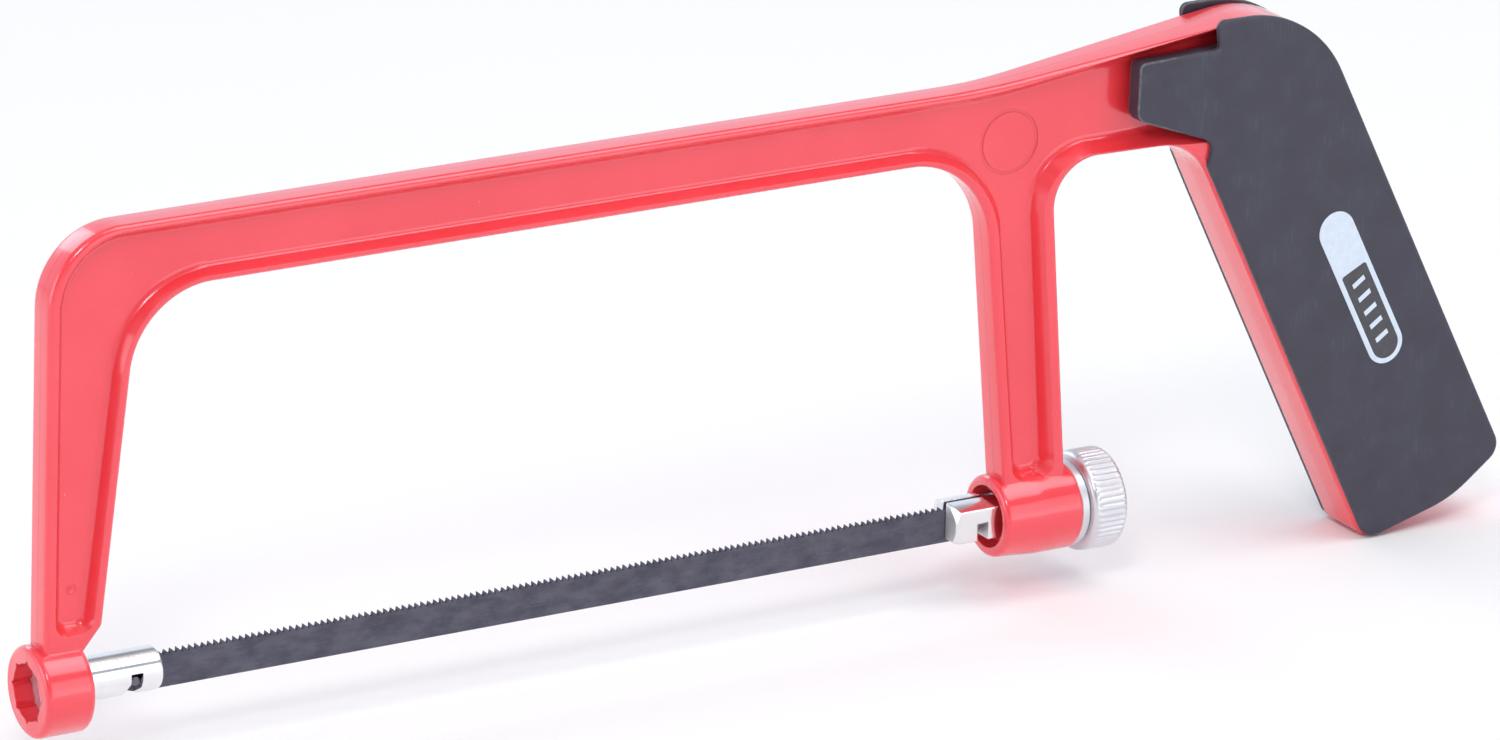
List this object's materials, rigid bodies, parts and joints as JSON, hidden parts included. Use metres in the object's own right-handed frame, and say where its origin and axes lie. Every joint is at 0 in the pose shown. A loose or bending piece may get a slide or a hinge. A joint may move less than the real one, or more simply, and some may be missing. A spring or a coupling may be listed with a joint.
{
  "type": "hacksaw",
  "caption": "Small hand hacksaw: red die-cast frame, pin-end blade held in slotted holders, knurled tension knob and dark grip scales.",
  "frame": {"origin": "bottom centre of the bounding box, level with the lowest point of the handle, in the middle of the saw's thickness", "axes": "+X along the blade towards the handle, +Z from the blade towards the spine of the frame, +Y square to the saw"},
  "size_m": [0.2586, 0.0158, 0.0898],
  "materials": {
    "frame_red": "satin lacquer over die-cast aluminium",
    "holder_chrome": "polished",
    "holder_nickel": "bright nickel",
    "stud_steel": "zinc",
    "knob_silver": "satin",
    "blade_steel": "blued",
    "pin_steel": "blued",
    "grip_black": "fine moulded grain",
    "screw_black": "black oxide",
    "badge_pale": "printed"
  },
  "bodies": {
    "saw_frame": {"frame": "frame_red", "front_holder": "holder_chrome", "thrust_washer": "knob_silver", "grip_scale_near": "grip_black", "grip_scale_far": "grip_black", "grip_screws": "screw_black", "badge": "badge_pale"},
    "knob": {"tension_knob": "knob_silver"},
    "rear_bar": {"rear_holder": "holder_nickel", "tension_stud": "stud_steel"},
    "blade": {"blade": "blade_steel", "blade_pin_front": "pin_steel", "blade_pin_rear": "pin_steel"}
  },
  "joints": [
    {"name": "knob_turn", "type": "hinge", "parent": "saw_frame", "child": "knob", "pos_m": [0.0546, 0, 0.01316], "axis": [1, 0, 0], "range_deg": [0, 180.05]},
    {"name": "bar_travel", "type": "slide", "parent": "saw_frame", "child": "rear_bar", "axis": [-1, 0, 0], "range_m": [0, 0.0004]},
    {"name": "blade_drop", "type": "slide", "parent": "saw_frame", "child": "blade", "axis": [0, 0, -1], "range_m": [0, 0.008]}
  ],
  "couplings": [
    {"joint": "knob_turn", "follows": "bar_travel", "rad_per_m": 7854}
  ]
}
